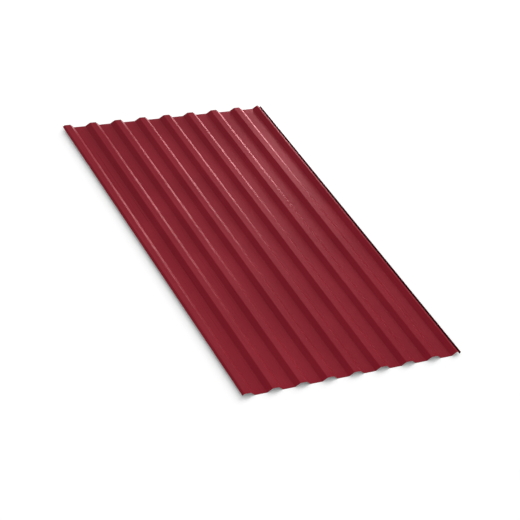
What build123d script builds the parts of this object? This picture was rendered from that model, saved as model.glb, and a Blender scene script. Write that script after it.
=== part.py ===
from build123d import *

import os

# A trapezoidal roofing and wall sheet, rolled from one strip of thin coated steel.
#
# The strip is bent into raised ribs with flat valleys between them, and sheared square at both
# ends. The left edge is the one that laps over the next sheet: a full rib with a short skirt.
# The right edge goes under: a narrow shelf, then a drain channel with an upturned lip, which
# catches the water that creeps into the lap.
#
# X runs across the ribs, Y along them and Z up. The origin is under the middle of the sheet, at
# the level of the valleys' undersides, which the sheet rests on.

# The strip
sheet_length = 2000.0
gauge = 0.5

# The ribs, to the middle of the gauge and from corner to corner
pitch = 137.5
pitch_count = 8
rib_height = 18.0
crown_width = 32.0
web_run = 22.0
bend_radius = 3.0

# The skirt of the edge that laps over, at the slope of the webs
skirt_run = 9.0

# The shelf, drain channel and lip of the edge that goes under
shelf_width = 8.0
channel_depth = 12.0
channel_wall_run = 9.5
channel_floor = 4.0
channel_bend_radius = 1.5
lip_rise = 8.5
lip_run = 2.5

# Levels of the middle of the gauge
valley_level = gauge / 2
crown_level = valley_level + rib_height
channel_level = crown_level - channel_depth

# Places across the sheet, with the whole width centred on the origin
cover_width = pitch_count * pitch
channel_width = channel_wall_run + channel_floor + lip_run
overall_width = skirt_run + cover_width + shelf_width + channel_width
first_crown = skirt_run - overall_width / 2
shelf_start = first_crown + cover_width


def skirt_edge():
    """The sheared edge of the skirt, down the slope from the first crown."""
    return (first_crown - skirt_run, crown_level - skirt_run * rib_height / web_run)


def rib_corners(crown_start):
    """The four bends of one rib and the valley on its right."""
    crown_end = crown_start + crown_width
    valley_start = crown_end + web_run
    valley_end = crown_start + pitch - web_run
    return [
        (crown_start, crown_level),
        (crown_end, crown_level),
        (valley_start, valley_level),
        (valley_end, valley_level),
    ]


def channel_corners():
    """The three bends of the drain channel, from the end of the shelf to the foot of the lip."""
    shelf_end = shelf_start + shelf_width
    floor_start = shelf_end + channel_wall_run
    floor_end = floor_start + channel_floor
    return [
        (shelf_end, crown_level),
        (floor_start, channel_level),
        (floor_end, channel_level),
    ]


def lip_edge():
    """The sheared edge of the upturned lip, at the right end of the section."""
    return (shelf_start + shelf_width + channel_width, channel_level + lip_rise)


rib_bends = []
for number in range(pitch_count):
    rib_bends += rib_corners(first_crown + number * pitch)
rib_bends.append((shelf_start, crown_level))
channel_bends = channel_corners()
bend_radii = [bend_radius] * len(rib_bends) + [channel_bend_radius] * len(channel_bends)

with BuildPart() as profiled_sheet:
    with BuildSketch(Plane.XZ) as section:
        with BuildLine() as middle_of_gauge:
            FilletPolyline(skirt_edge(), *rib_bends, *channel_bends, lip_edge(), radius=bend_radii)
        trace(line_width=gauge)
    extrude(amount=sheet_length / 2, both=True)

profiled_sheet.part.label = "profiled_sheet"

os.makedirs("parts", exist_ok=True)
export_step(profiled_sheet.part, "parts/profiled_sheet.step")
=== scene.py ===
import math
from collections import namedtuple

import bpy
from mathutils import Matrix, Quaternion, Vector, noise


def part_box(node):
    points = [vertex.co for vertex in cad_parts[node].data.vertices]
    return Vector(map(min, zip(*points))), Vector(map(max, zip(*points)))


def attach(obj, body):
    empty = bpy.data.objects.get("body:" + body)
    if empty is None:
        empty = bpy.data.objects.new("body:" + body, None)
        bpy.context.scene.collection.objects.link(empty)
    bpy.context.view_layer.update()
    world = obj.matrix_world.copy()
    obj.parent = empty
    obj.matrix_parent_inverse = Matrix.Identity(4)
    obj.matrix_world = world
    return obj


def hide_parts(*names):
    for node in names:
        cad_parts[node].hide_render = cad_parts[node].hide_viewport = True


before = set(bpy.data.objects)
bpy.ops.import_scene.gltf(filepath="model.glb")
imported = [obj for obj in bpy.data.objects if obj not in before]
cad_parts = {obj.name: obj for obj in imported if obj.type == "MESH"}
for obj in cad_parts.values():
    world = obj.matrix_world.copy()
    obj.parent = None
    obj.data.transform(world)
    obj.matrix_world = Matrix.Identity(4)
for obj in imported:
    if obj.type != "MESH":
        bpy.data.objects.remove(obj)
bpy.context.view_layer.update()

# A wine-red trapezoidal steel sheet on a white studio floor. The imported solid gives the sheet's
# length and height. The piece made here has the same rolled section, with smooth bends, slightly
# bowed flats, rolled-over sheared ends, and the coats of the strip as materials.
#
# X runs across the ribs, Y along them and Z up. Everything is in metres.

# The strip
lowest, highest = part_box("profiled_sheet")
half_length = (highest.y - lowest.y) / 2
gauge = 0.0005

# The rolled section, to the middle of the gauge and from corner to corner
pitch = 0.1375
pitch_count = 8
rib_height = highest.z - gauge
crown_width = 0.032
web_run = 0.022
bend_radius = 0.003
skirt_run = 0.009
shelf_width = 0.008
channel_depth = 0.012
channel_wall_run = 0.0095
channel_floor = 0.004
channel_bend_radius = 0.0015
lip_rise = 0.0085
lip_run = 0.0025

# Levels and places worked out from those sizes
valley_level = gauge / 2
crown_level = valley_level + rib_height
channel_level = crown_level - channel_depth
cover_width = pitch_count * pitch
channel_width = channel_wall_run + channel_floor + lip_run
overall_width = skirt_run + cover_width + shelf_width + channel_width
first_crown = skirt_run - overall_width / 2
shelf_start = first_crown + cover_width

# How much of the strip's width the channel's wall takes, and the whole channel with floor and lip
wall_length = math.hypot(channel_wall_run, channel_depth)
channel_length = wall_length + channel_floor + math.hypot(lip_run, lip_rise)

# How finely the strip is divided: steps in a bend, the width of a step on a flat, the narrow step
# that keeps a flat's shading flat up to its bends, and the step along the ribs. Faces that meet at
# more than the sharp angle are shaded as an edge.
arc_steps = 6
flat_step = 0.009
guard_step = 0.0008
lengthwise_step = 0.04
sharp_angle = math.radians(60.0)

# How far the flats bow between their bends at most, what share of that they bow on average, and
# how far apart the stronger bows are along the sheet and across it
flat_bow = 0.00009
average_bow = 0.5
bow_length = 0.42
bow_spacing = 0.14
bow_seed = 3.7

# The edge that the shears roll over at both ends: its depth, its length, and the share of both at
# the point between
end_roll_depth = 0.0001
end_roll_length = 0.0003
end_roll_middle = 0.35

# The numbers of the sheet's materials, in the order in which it gets them
top_coat = 0
back_coat = 1
cut_edge = 2

# Colours, as linear values
wine_red = (0.212, 0.0088, 0.0185, 1.0)
wine_red_pale = (0.254, 0.0128, 0.0242, 1.0)
wine_red_sheen = (1.0, 0.06, 0.12, 1.0)
# Painted shade: a near-black red that stands in for the shade inside the drain channel
channel_shade_red = (0.05, 0.004, 0.007, 1.0)
primer_grey = (0.30, 0.26, 0.25, 1.0)
back_coat_grey = (0.36, 0.37, 0.36, 1.0)
back_coat_pale = (0.45, 0.46, 0.44, 1.0)
bare_steel = (0.48, 0.49, 0.51, 1.0)
dragged_coat = (0.090, 0.008, 0.014, 1.0)
floor_white = (0.98, 0.98, 0.98, 1.0)
plain_white = (1.0, 1.0, 1.0, 1.0)

# The finish of a painted face: the size of its rolling marks, of its patches of shade and of its
# grain, how deep the grain is, how far wear reaches in from the sheared edges, its roughness off
# the marks and on them, and how much of its change of shade comes from the marks
Finish = namedtuple(
    "Finish",
    "line_width line_length patch_size grain_size grain_depth wear_reach roughness marks_share",
)
topcoat_finish = Finish(
    line_width=0.0022,
    line_length=0.9,
    patch_size=0.35,
    grain_size=0.0026,
    grain_depth=0.000014,
    wear_reach=0.0005,
    roughness=(0.27, 0.35),
    marks_share=0.35,
)
back_coat_finish = Finish(
    line_width=0.0035,
    line_length=1.6,
    patch_size=0.22,
    grain_size=0.0016,
    grain_depth=0.000006,
    wear_reach=0.0004,
    roughness=(0.46, 0.58),
    marks_share=0.5,
)

# How strongly the topcoat mirrors, as its index of refraction
topcoat_index = 2.2

# The finish of the cut edge: its grain and patches, the roughness of the dragged coat and of the
# steel, and the range of the patches over which the coat gives way to steel
sheared_grain_size = 0.0003
sheared_grain_depth = 0.00003
sheared_patch_size = 0.0012
sheared_roughness = (0.55, 0.38)
bare_steel_range = (0.65, 0.85)

# The noise of each effect: how strong its finer parts are, and which range of it is used
marks_noise_roughness = 0.6
marks_noise_range = (0.25, 0.75)
grain_noise_roughness = 0.45
patch_noise_roughness = 0.55
patch_noise_range = (0.3, 0.7)

# The ragged line of wear: its noise, and where it fades out, as shares of its reach
wear_noise_detail = 3.0
wear_noise_roughness = 0.5
wear_fade = (0.8, 1.2)

# The light that falls on things: even from all round above the floor, and from below it a light
# that shows the underside, for rays that have bounced off fewer matt surfaces than the limit
fill_level = 0.69
under_level = 0.55
bounce_limit = 1.5

# What the sheet mirrors: a low white backdrop, and a ceiling that brightens up to overhead. The
# backdrop's top is the height of a direction, where 0 is level and 1 is straight up.
backdrop_white = 1.0
backdrop_top = 0.10
ceiling_level = 0.49

# The floor: a hair below the sheet, with the glow that makes it white
floor_gap = 0.0002
floor_glow = 0.09
floor_reach = 40.0

# The soft light from the far right. A bearing turns from X towards Y.
side_light_bearing = math.radians(32.0)
side_light_elevation = math.radians(23.0)
side_light_softness = math.radians(32.0)
side_light_strength = 2.1

# The low soft boxes beyond the far right corner: where each hangs, how wide and tall it is, and its
# power. Both face the middle of the sheet.
SoftBox = namedtuple("SoftBox", "name bearing distance height width tall watts")
soft_boxes = [
    SoftBox(
        name="far_soft_box",
        bearing=math.radians(53.0),
        distance=4.0,
        height=0.85,
        width=0.5,
        tall=0.5,
        watts=10.8,
    ),
    SoftBox(
        name="near_soft_box",
        bearing=math.radians(47.0),
        distance=2.75,
        height=0.34,
        width=0.5,
        tall=0.5,
        watts=12.0,
    ),
]

# The camera: where it stands, the point on the floor that it looks at, its roll and its lens
camera_place = Vector((-3.7974, -5.1911, 4.6254))
camera_aim = Vector((-0.0465, -0.1741, 0.0))
camera_roll = math.radians(15.18)
camera_lens = 115.48
sensor_width = 36.0

# A corner of the section, and the radius of its bend
Corner = namedtuple("Corner", "place radius")

# A point on the middle line of the section, the direction out of the top face there, and how much
# of the flat's bow it takes
Station = namedtuple("Station", "place normal bow")


def corner_at(across, level, radius):
    """One corner of the section, at a place across the sheet and a level."""
    return Corner(Vector((across, level)), radius)


def section_corners():
    """The corners of the section from left to right. The sheared edges have no bend."""
    skirt_level = crown_level - skirt_run * rib_height / web_run
    corners = [corner_at(first_crown - skirt_run, skirt_level, 0.0)]
    for number in range(pitch_count):
        crown_start = first_crown + number * pitch
        crown_end = crown_start + crown_width
        corners.append(corner_at(crown_start, crown_level, bend_radius))
        corners.append(corner_at(crown_end, crown_level, bend_radius))
        corners.append(corner_at(crown_end + web_run, valley_level, bend_radius))
        corners.append(corner_at(crown_start + pitch - web_run, valley_level, bend_radius))
    shelf_end = shelf_start + shelf_width
    floor_start = shelf_end + channel_wall_run
    floor_end = floor_start + channel_floor
    corners.append(corner_at(shelf_start, crown_level, bend_radius))
    corners.append(corner_at(shelf_end, crown_level, channel_bend_radius))
    corners.append(corner_at(floor_start, channel_level, channel_bend_radius))
    corners.append(corner_at(floor_end, channel_level, channel_bend_radius))
    corners.append(corner_at(floor_end + lip_run, channel_level + lip_rise, 0.0))
    return corners


def upright(direction):
    """The direction out of the top face, for a stretch that runs this way."""
    return Vector((-direction.y, direction.x))


def turned(vector, angle):
    """A vector of the section, turned anticlockwise."""
    across = vector.x * math.cos(angle) - vector.y * math.sin(angle)
    up = vector.x * math.sin(angle) + vector.y * math.cos(angle)
    return Vector((across, up))


def edge_station(place, stretch):
    """The station at a sheared edge, where a stretch of the section starts or ends."""
    return Station(place, upright(stretch.normalized()), 0.0)


def bend_stations(before, corner, after):
    """Stations along the arc that rounds one corner."""
    arriving = (corner.place - before.place).normalized()
    leaving = (after.place - corner.place).normalized()
    clockwise = arriving.angle_signed(leaving)
    start = corner.place - arriving * corner.radius * math.tan(abs(clockwise) / 2)
    outward = upright(arriving)
    centre = start - outward * math.copysign(corner.radius, clockwise)
    stations = []
    for step in range(arc_steps + 1):
        angle = -clockwise * step / arc_steps
        place = centre + turned(start - centre, angle)
        stations.append(Station(place, turned(outward, angle), 0.0))
    return stations


def bow_way(start, end):
    """1 for a low flat, which bows up, -1 for a crown, which bows down, and 0 for a slope."""
    if abs(end.y - start.y) >= gauge:
        return 0.0
    return 1.0 if start.y < rib_height / 2 else -1.0


def flat_stations(start, end):
    """Stations along one flat or slope, between its bends."""
    span = end - start
    direction = span.normalized()
    count = max(1, round(span.length / flat_step))
    distances = [guard_step]
    for step in range(1, count):
        distances.append(span.length * step / count)
    distances.append(span.length - guard_step)
    way = bow_way(start, end)
    stations = []
    for distance in distances:
        bow = way * math.sin(math.pi * distance / span.length) ** 2
        stations.append(Station(start + direction * distance, upright(direction), bow))
    return stations


def rolled_section():
    """The whole section as stations, from the skirt's edge to the lip's edge."""
    corners = section_corners()
    skirt_edge = corners[0].place
    stations = [edge_station(skirt_edge, corners[1].place - skirt_edge)]
    for before, corner, after in zip(corners, corners[1:], corners[2:]):
        bend = bend_stations(before, corner, after)
        stations += flat_stations(stations[-1].place, bend[0].place)
        stations += bend
    lip_foot = stations[-1].place
    lip_edge = corners[-1].place
    stations += flat_stations(lip_foot, lip_edge)
    stations.append(edge_station(lip_edge, lip_edge - lip_foot))
    return stations


def developed_widths(section):
    """How far along the strip each station lies, measured before it was rolled."""
    widths = [0.0]
    for last, station in zip(section, section[1:]):
        widths.append(widths[-1] + (station.place - last.place).length)
    return widths


def lengthwise_places():
    """Places along the ribs, each with its share of the rolled-over edge."""
    inner = half_length - end_roll_length
    shoulder = half_length - end_roll_length * end_roll_middle
    count = round(2 * inner / lengthwise_step)
    places = [(-half_length, 1.0), (-shoulder, end_roll_middle)]
    for step in range(count + 1):
        places.append((-inner + 2 * inner * step / count, 0.0))
    places += [(shoulder, end_roll_middle), (half_length, 1.0)]
    return places


def bow_share(x, y):
    """How much a flat bows at one place, from 0 to 1, in slow waves along and across the sheet."""
    wave = noise.noise(Vector((x / bow_spacing, y / bow_length, bow_seed)))
    return min(1.0, max(0.0, average_bow + wave))


def strip_points(section, places, from_middle, roll_depth):
    """One face of the strip as a grid of points: how far it lies above the middle of the gauge,
    and how deep its edge is rolled over at both ends."""
    points = []
    for y, roll in places:
        for station in section:
            rise = station.bow * flat_bow * bow_share(station.place.x, y) * (1.0 - roll)
            place = station.place + station.normal * (from_middle - roll * roll_depth)
            points.append((place.x, y, place.y + rise))
    return points


def grid_faces(across, along):
    """Faces of the closed strip, each with the number of its material. The points of the back
    follow those of the top."""
    back = across * along
    faces = []
    materials = []
    for row in range(along - 1):
        for column in range(across - 1):
            near = row * across + column
            far = near + across
            quad = (near, near + 1, far + 1, far)
            faces.append(quad)
            faces.append(tuple(back + point for point in reversed(quad)))
            materials += [top_coat, back_coat]
    last_row = (along - 1) * across
    for near in range(across - 1):
        far = last_row + near
        faces.append((back + near, back + near + 1, near + 1, near))
        faces.append((far, far + 1, back + far + 1, back + far))
        materials += [cut_edge, cut_edge]
    for row in range(along - 1):
        left = row * across
        right = left + across - 1
        faces.append((left, left + across, back + left + across, back + left))
        faces.append((back + right, back + right + across, right + across, right))
        materials += [cut_edge, cut_edge]
    return faces, materials


def sheet_mesh(section, widths):
    """The strip as one closed mesh, with its place before rolling kept as texture coordinates."""
    places = lengthwise_places()
    top = strip_points(section, places, gauge / 2, end_roll_depth)
    back = strip_points(section, places, -gauge / 2, 0.0)
    faces, materials = grid_faces(len(section), len(places))
    mesh = bpy.data.meshes.new("coated_sheet")
    mesh.from_pydata(top + back, [], faces)
    mesh.polygons.foreach_set("material_index", materials)
    mesh.polygons.foreach_set("use_smooth", [True] * len(faces))
    strip = [(width, y) for y, _ in places for width in widths] * 2
    layer = mesh.uv_layers.new(name="strip")
    coordinates = []
    for loop in mesh.loops:
        coordinates.extend(strip[loop.vertex_index])
    layer.uv.foreach_set("vector", coordinates)
    mesh.update()
    mesh.set_sharp_from_angle(angle=sharp_angle)
    return mesh


def add_node(tree, kind, **settings):
    """Adds one shader node and sets its own settings."""
    node = tree.nodes.new(kind)
    for name, value in settings.items():
        setattr(node, name, value)
    return node


def feed(tree, socket, value):
    """Sets a socket to a plain value, or links it to another socket."""
    if isinstance(value, bpy.types.NodeSocket):
        tree.links.new(value, socket)
    else:
        socket.default_value = value


def new_material(name):
    """A material with an empty node tree, its tree, and the socket that its shader feeds."""
    material = bpy.data.materials.new(name)
    material.use_nodes = True
    tree = material.node_tree
    tree.nodes.clear()
    output = add_node(tree, "ShaderNodeOutputMaterial")
    return material, tree, output.inputs["Surface"]


def new_effect(name, inputs, outputs):
    """A shader node group. Each input has its name, its kind and its default value."""
    tree = bpy.data.node_groups.new(name, "ShaderNodeTree")
    for label, kind, default in inputs:
        socket = tree.interface.new_socket(label, in_out="INPUT", socket_type=kind)
        if default is not None:
            socket.default_value = default
    for label, kind in outputs:
        tree.interface.new_socket(label, in_out="OUTPUT", socket_type=kind)
    given = add_node(tree, "NodeGroupInput").outputs
    result = add_node(tree, "NodeGroupOutput").inputs
    return tree, given, result


def place_effect(tree, effect, strip, **values):
    """Places an effect in a material, with that material's own values, and gives its result."""
    node = add_node(tree, "ShaderNodeGroup", node_tree=effect)
    feed(tree, node.inputs["Strip"], strip)
    for name, value in values.items():
        label = name.replace("_", " ").title()
        feed(tree, node.inputs[label], value)
    return node.outputs[0]


def combine(tree, kind, *values, **settings):
    """Adds a node, feeds its sockets in their order, and gives its first result."""
    node = add_node(tree, kind, **settings)
    for socket, value in zip(node.inputs, values):
        feed(tree, socket, value)
    return node.outputs[0]


def calculate(tree, operation, *values):
    """A math node on values or sockets, and its result."""
    return combine(tree, "ShaderNodeMath", *values, operation=operation)


def remap(tree, value, start, end, low=0.0, high=1.0):
    """Eases a value that goes from start to end into one that goes from low to high."""
    node = add_node(tree, "ShaderNodeMapRange", interpolation_type="SMOOTHSTEP")
    feed(tree, node.inputs["Value"], value)
    feed(tree, node.inputs["From Min"], start)
    feed(tree, node.inputs["From Max"], end)
    feed(tree, node.inputs["To Min"], low)
    feed(tree, node.inputs["To Max"], high)
    return node.outputs["Result"]


def blend(tree, data_type, ending, share, first, second):
    """A mix node and its result. The ending tells its sockets for one kind of data from others."""
    node = add_node(tree, "ShaderNodeMix", data_type=data_type)
    inputs = {socket.identifier: socket for socket in node.inputs}
    outputs = {socket.identifier: socket for socket in node.outputs}
    feed(tree, inputs["Factor_Float"], share)
    feed(tree, inputs["A_" + ending], first)
    feed(tree, inputs["B_" + ending], second)
    return outputs["Result_" + ending]


def blend_values(tree, share, first, second):
    """A value that goes from the first to the second as the share goes from 0 to 1."""
    return blend(tree, "FLOAT", "Float", share, first, second)


def blend_colours(tree, share, first, second):
    """A colour that goes from the first to the second as the share goes from 0 to 1."""
    return blend(tree, "RGBA", "Color", share, first, second)


def speckle(tree, place, scale, detail, roughness):
    """A flat noise texture, and its result from 0 to 1."""
    node = add_node(tree, "ShaderNodeTexNoise", noise_dimensions="2D")
    feed(tree, node.inputs["Vector"], place)
    feed(tree, node.inputs["Scale"], scale)
    feed(tree, node.inputs["Detail"], detail)
    feed(tree, node.inputs["Roughness"], roughness)
    return node.outputs["Fac"]


def relief(tree, height, depth):
    """A bump node for a height from 0 to 1, and its normal."""
    node = add_node(tree, "ShaderNodeBump")
    feed(tree, node.inputs["Distance"], depth)
    feed(tree, node.inputs["Height"], height)
    return node.outputs["Normal"]


def strip_place(tree):
    """The place on the strip before it was rolled: across it, and along it."""
    return add_node(tree, "ShaderNodeUVMap", uv_map="strip").outputs["UV"]


def rolling_marks_effect():
    """Faint lines along the strip that the forming rolls leave, from 0 to 1."""
    tree, given, result = new_effect(
        "rolling_marks",
        [
            ("Strip", "NodeSocketVector", None),
            ("Line Width", "NodeSocketFloat", 0.002),
            ("Line Length", "NodeSocketFloat", 0.8),
            ("Fineness", "NodeSocketFloat", 3.0),
        ],
        [("Marks", "NodeSocketFloat")],
    )
    size = combine(tree, "ShaderNodeCombineXYZ", given["Line Width"], given["Line Length"], 1.0)
    stretched = combine(tree, "ShaderNodeVectorMath", given["Strip"], size, operation="DIVIDE")
    lines = speckle(
        tree, stretched, scale=1.0, detail=given["Fineness"], roughness=marks_noise_roughness
    )
    feed(tree, result["Marks"], remap(tree, lines, *marks_noise_range))
    return tree


def coating_grain_effect():
    """The fine orange peel of a baked coat, as a height from 0 to 1."""
    tree, given, result = new_effect(
        "coating_grain",
        [
            ("Strip", "NodeSocketVector", None),
            ("Grain Size", "NodeSocketFloat", 0.0025),
            ("Fineness", "NodeSocketFloat", 2.0),
        ],
        [("Height", "NodeSocketFloat")],
    )
    scale = calculate(tree, "DIVIDE", 1.0, given["Grain Size"])
    grain = speckle(tree, given["Strip"], scale, given["Fineness"], grain_noise_roughness)
    feed(tree, result["Height"], grain)
    return tree


def colour_drift_effect():
    """Slow changes of a coat's shade from place to place, from 0 to 1."""
    tree, given, result = new_effect(
        "colour_drift",
        [
            ("Strip", "NodeSocketVector", None),
            ("Patch Size", "NodeSocketFloat", 0.4),
            ("Fineness", "NodeSocketFloat", 4.0),
        ],
        [("Drift", "NodeSocketFloat")],
    )
    scale = calculate(tree, "DIVIDE", 1.0, given["Patch Size"])
    patches = speckle(tree, given["Strip"], scale, given["Fineness"], patch_noise_roughness)
    feed(tree, result["Drift"], remap(tree, patches, *patch_noise_range))
    return tree


def sheared_edge_wear_effect():
    """Where the shears have lifted the coat: a thin ragged line along all four edges."""
    tree, given, result = new_effect(
        "sheared_edge_wear",
        [
            ("Strip", "NodeSocketVector", None),
            ("Strip Width", "NodeSocketFloat", 1.25),
            ("Half Length", "NodeSocketFloat", 1.0),
            ("Reach", "NodeSocketFloat", 0.0008),
            ("Tooth Size", "NodeSocketFloat", 0.0011),
        ],
        [("Mask", "NodeSocketFloat")],
    )
    place = add_node(tree, "ShaderNodeSeparateXYZ")
    feed(tree, place.inputs["Vector"], given["Strip"])
    from_right = calculate(tree, "SUBTRACT", given["Strip Width"], place.outputs["X"])
    across = calculate(tree, "MINIMUM", place.outputs["X"], from_right)
    from_middle = calculate(tree, "ABSOLUTE", place.outputs["Y"])
    along = calculate(tree, "SUBTRACT", given["Half Length"], from_middle)
    distance = calculate(tree, "MINIMUM", across, along)
    scale = calculate(tree, "DIVIDE", 1.0, given["Tooth Size"])
    teeth = speckle(tree, given["Strip"], scale, wear_noise_detail, wear_noise_roughness)
    reach = calculate(tree, "MULTIPLY", teeth, given["Reach"])
    share = calculate(tree, "DIVIDE", distance, reach)
    feed(tree, result["Mask"], remap(tree, share, *wear_fade, low=1.0, high=0.0))
    return tree


# The effects, as node groups
Effects = namedtuple("Effects", "marks drift grain wear")

# What the effects give a painted face: its rolling marks, its shade, its grain and its wear
Paint = namedtuple("Paint", "marks shade grain wear")


def painted_face(tree, effects, strip, strip_width, finish):
    """Places the effects in the material of a painted face, with the values of its finish."""
    marks = place_effect(
        tree, effects.marks, strip, line_width=finish.line_width, line_length=finish.line_length
    )
    drift = place_effect(tree, effects.drift, strip, patch_size=finish.patch_size)
    grain = place_effect(tree, effects.grain, strip, grain_size=finish.grain_size)
    wear = place_effect(
        tree,
        effects.wear,
        strip,
        strip_width=strip_width,
        half_length=half_length,
        reach=finish.wear_reach,
    )
    shade = blend_values(tree, finish.marks_share, drift, marks)
    return Paint(marks, shade, grain, wear)


def channel_shade_mask(tree, strip, strip_width):
    """1 in the drain channel, where painted shade darkens the topcoat, and 0 elsewhere."""
    place = add_node(tree, "ShaderNodeSeparateXYZ")
    feed(tree, place.inputs["Vector"], strip)
    shelf_end = strip_width - channel_length
    wall_foot = shelf_end + wall_length
    return remap(tree, place.outputs["X"], shelf_end, wall_foot)


def wine_red_topcoat(effects, strip_width):
    """The semi-gloss wine-red coat of the top face, worn to the primer along the sheared edges, with
    painted shade in the drain channel.
    """
    material, tree, surface = new_material("wine_red_topcoat")
    strip = strip_place(tree)
    finish = topcoat_finish
    paint = painted_face(tree, effects, strip, strip_width, finish)
    coat = blend_colours(tree, paint.shade, wine_red, wine_red_pale)
    # Painted shade: the coat darkens from the top of the channel's wall to its foot, and stays dark
    # over the channel's floor and lip
    darkened = channel_shade_mask(tree, strip, strip_width)
    coat = blend_colours(tree, darkened, coat, channel_shade_red)
    shader = add_node(tree, "ShaderNodeBsdfPrincipled")
    feed(tree, shader.inputs["Base Color"], blend_colours(tree, paint.wear, coat, primer_grey))
    feed(tree, shader.inputs["Roughness"], blend_values(tree, paint.marks, *finish.roughness))
    feed(tree, shader.inputs["IOR"], topcoat_index)
    feed(tree, shader.inputs["Specular Tint"], wine_red_sheen)
    feed(tree, shader.inputs["Normal"], relief(tree, paint.grain, finish.grain_depth))
    feed(tree, surface, shader.outputs["BSDF"])
    return material


def grey_back_coat(effects, strip_width):
    """The thin grey lacquer of the underside."""
    material, tree, surface = new_material("grey_back_coat")
    finish = back_coat_finish
    paint = painted_face(tree, effects, strip_place(tree), strip_width, finish)
    coat = blend_colours(tree, paint.shade, back_coat_grey, back_coat_pale)
    shader = add_node(tree, "ShaderNodeBsdfPrincipled")
    feed(tree, shader.inputs["Base Color"], blend_colours(tree, paint.wear, coat, bare_steel))
    feed(tree, shader.inputs["Roughness"], blend_values(tree, paint.marks, *finish.roughness))
    feed(tree, shader.inputs["Normal"], relief(tree, paint.grain, finish.grain_depth))
    feed(tree, surface, shader.outputs["BSDF"])
    return material


def sheared_edge(effects):
    """The cut edge of the strip: steel, with the coat dragged over most of it by the blade."""
    material, tree, surface = new_material("sheared_edge")
    strip = strip_place(tree)
    patches = place_effect(tree, effects.drift, strip, patch_size=sheared_patch_size)
    grain = place_effect(tree, effects.grain, strip, grain_size=sheared_grain_size)
    bare = remap(tree, patches, *bare_steel_range)
    shader = add_node(tree, "ShaderNodeBsdfPrincipled")
    feed(tree, shader.inputs["Base Color"], blend_colours(tree, bare, dragged_coat, bare_steel))
    feed(tree, shader.inputs["Metallic"], bare)
    feed(tree, shader.inputs["Roughness"], blend_values(tree, bare, *sheared_roughness))
    feed(tree, shader.inputs["Normal"], relief(tree, grain, sheared_grain_depth))
    feed(tree, surface, shader.outputs["BSDF"])
    return material


def coated_sheet():
    """The sheet itself, in its three materials."""
    section = rolled_section()
    widths = developed_widths(section)
    strip_width = widths[-1]
    effects = Effects(
        marks=rolling_marks_effect(),
        drift=colour_drift_effect(),
        grain=coating_grain_effect(),
        wear=sheared_edge_wear_effect(),
    )
    mesh = sheet_mesh(section, widths)
    mesh.materials.append(wine_red_topcoat(effects, strip_width))
    mesh.materials.append(grey_back_coat(effects, strip_width))
    mesh.materials.append(sheared_edge(effects))
    piece = bpy.data.objects.new("coated_sheet", mesh)
    bpy.context.scene.collection.objects.link(piece)
    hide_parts("profiled_sheet")
    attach(piece, "root")


def ray_is(tree, *kinds):
    """1 for rays of any of the named kinds, and 0 for all others."""
    path = add_node(tree, "ShaderNodeLightPath").outputs
    named = path[kinds[0]]
    for kind in kinds[1:]:
        named = calculate(tree, "MAXIMUM", named, path[kind])
    return named


def white_floor_paint():
    """Matt white that keeps the sheet's shadow, and lets a view and light through from below."""
    material, tree, surface = new_material("white_floor_paint")
    paint = add_node(tree, "ShaderNodeBsdfDiffuse")
    feed(tree, paint.inputs["Color"], floor_white)
    seen = ray_is(tree, "Is Camera Ray", "Is Glossy Ray", "Is Transmission Ray")
    glow = add_node(tree, "ShaderNodeEmission")
    feed(tree, glow.inputs["Strength"], calculate(tree, "MULTIPLY", seen, floor_glow))
    lit = combine(tree, "ShaderNodeAddShader", paint.outputs["BSDF"], glow.outputs["Emission"])
    clear = add_node(tree, "ShaderNodeBsdfTransparent").outputs["BSDF"]
    from_below = add_node(tree, "ShaderNodeNewGeometry").outputs["Backfacing"]
    falling = ray_is(tree, "Is Diffuse Ray", "Is Shadow Ray")
    passing = calculate(tree, "MAXIMUM", from_below, falling)
    feed(tree, surface, combine(tree, "ShaderNodeMixShader", passing, lit, clear))
    return material


def studio_floor():
    """A plain floor under the sheet."""
    mesh = bpy.data.meshes.new("studio_floor")
    sides = [(-1, -1), (1, -1), (1, 1), (-1, 1)]
    corners = [(x * floor_reach, y * floor_reach, -floor_gap) for x, y in sides]
    mesh.from_pydata(corners, [], [(0, 1, 2, 3)])
    mesh.materials.append(white_floor_paint())
    floor = bpy.data.objects.new("studio_floor", mesh)
    bpy.context.scene.collection.objects.link(floor)


def falling_light(tree, height):
    """The light that falls on things from a direction of this height."""
    bounces = add_node(tree, "ShaderNodeLightPath").outputs["Diffuse Depth"]
    within_limit = calculate(tree, "LESS_THAN", bounces, bounce_limit)
    from_below = calculate(tree, "MULTIPLY", within_limit, under_level)
    above_floor = calculate(tree, "GREATER_THAN", height, 0.0)
    return blend_values(tree, above_floor, from_below, fill_level)


def mirrored_light(tree, height):
    """What a gloss mirrors from a direction of this height: the low backdrop or the ceiling."""
    low_backdrop = remap(tree, height, 0.0, backdrop_top, low=backdrop_white, high=0.0)
    ceiling = calculate(tree, "MULTIPLY", height, ceiling_level)
    return calculate(tree, "MAXIMUM", low_backdrop, ceiling)


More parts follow.
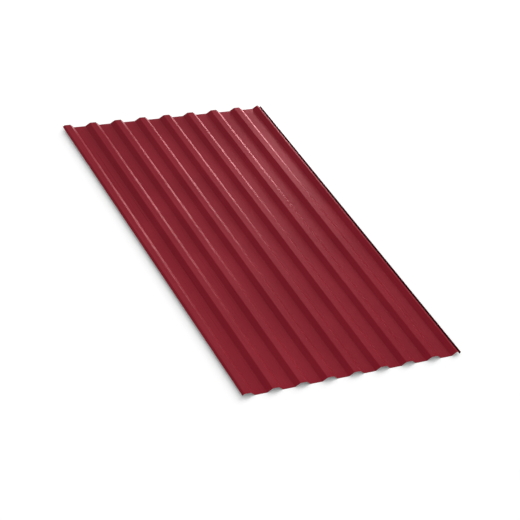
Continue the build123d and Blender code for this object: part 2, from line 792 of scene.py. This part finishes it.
def studio_world():
    """The studio all round the sheet: white to look at, and dimmer as light and in a gloss."""
    world = bpy.data.worlds.new("studio")
    world.use_nodes = True
    tree = world.node_tree
    tree.nodes.clear()
    direction = add_node(tree, "ShaderNodeSeparateXYZ")
    feed(tree, direction.inputs["Vector"], add_node(tree, "ShaderNodeTexCoord").outputs["Generated"])
    height = direction.outputs["Z"]
    in_mirror = ray_is(tree, "Is Glossy Ray", "Is Transmission Ray")
    level = blend_values(tree, in_mirror, falling_light(tree, height), mirrored_light(tree, height))
    level = blend_values(tree, ray_is(tree, "Is Camera Ray"), level, backdrop_white)
    backdrop = add_node(tree, "ShaderNodeBackground")
    feed(tree, backdrop.inputs["Color"], plain_white)
    feed(tree, backdrop.inputs["Strength"], level)
    output = add_node(tree, "ShaderNodeOutputWorld")
    feed(tree, output.inputs["Surface"], backdrop.outputs["Background"])
    bpy.context.scene.world = world


def hang(name, data, place, facing):
    """Puts a lamp or a camera in the scene, facing one way."""
    fixture = bpy.data.objects.new(name, data)
    fixture.location = place
    fixture.rotation_mode = "QUATERNION"
    fixture.rotation_quaternion = facing.to_track_quat("-Z", "Y")
    bpy.context.scene.collection.objects.link(fixture)
    return fixture


def side_light():
    """A large soft light from low on the far right. The gloss doesn't mirror it."""
    light = bpy.data.lights.new("side_light", "SUN")
    light.energy = side_light_strength
    light.angle = side_light_softness
    outward = math.cos(side_light_elevation)
    towards = Vector((
        outward * math.cos(side_light_bearing),
        outward * math.sin(side_light_bearing),
        math.sin(side_light_elevation),
    ))
    lamp = hang("side_light", light, towards, -towards)
    lamp.visible_glossy = False


def soft_box(box):
    """A low soft box that draws the bright lines along the bends."""
    light = bpy.data.lights.new(box.name, "AREA")
    light.shape = "RECTANGLE"
    light.size = box.width
    light.size_y = box.tall
    light.energy = box.watts
    across = box.distance * math.cos(box.bearing)
    along = box.distance * math.sin(box.bearing)
    place = Vector((across, along, box.height))
    lamp = hang(box.name, light, place, -place)
    lamp.visible_camera = False


def photo_camera():
    """A long lens from high on the near left, rolled a little."""
    lens = bpy.data.cameras.new("photo_camera")
    lens.lens = camera_lens
    lens.sensor_fit = "HORIZONTAL"
    lens.sensor_width = sensor_width
    camera = hang("photo_camera", lens, camera_place, camera_aim - camera_place)
    roll = Quaternion((0.0, 0.0, 1.0), camera_roll)
    camera.rotation_quaternion = camera.rotation_quaternion @ roll
    bpy.context.scene.camera = camera


coated_sheet()
studio_floor()
studio_world()
side_light()
for box in soft_boxes:
    soft_box(box)
photo_camera()

bpy.context.scene.view_settings.view_transform = "Standard"

bpy.context.view_layer.update()
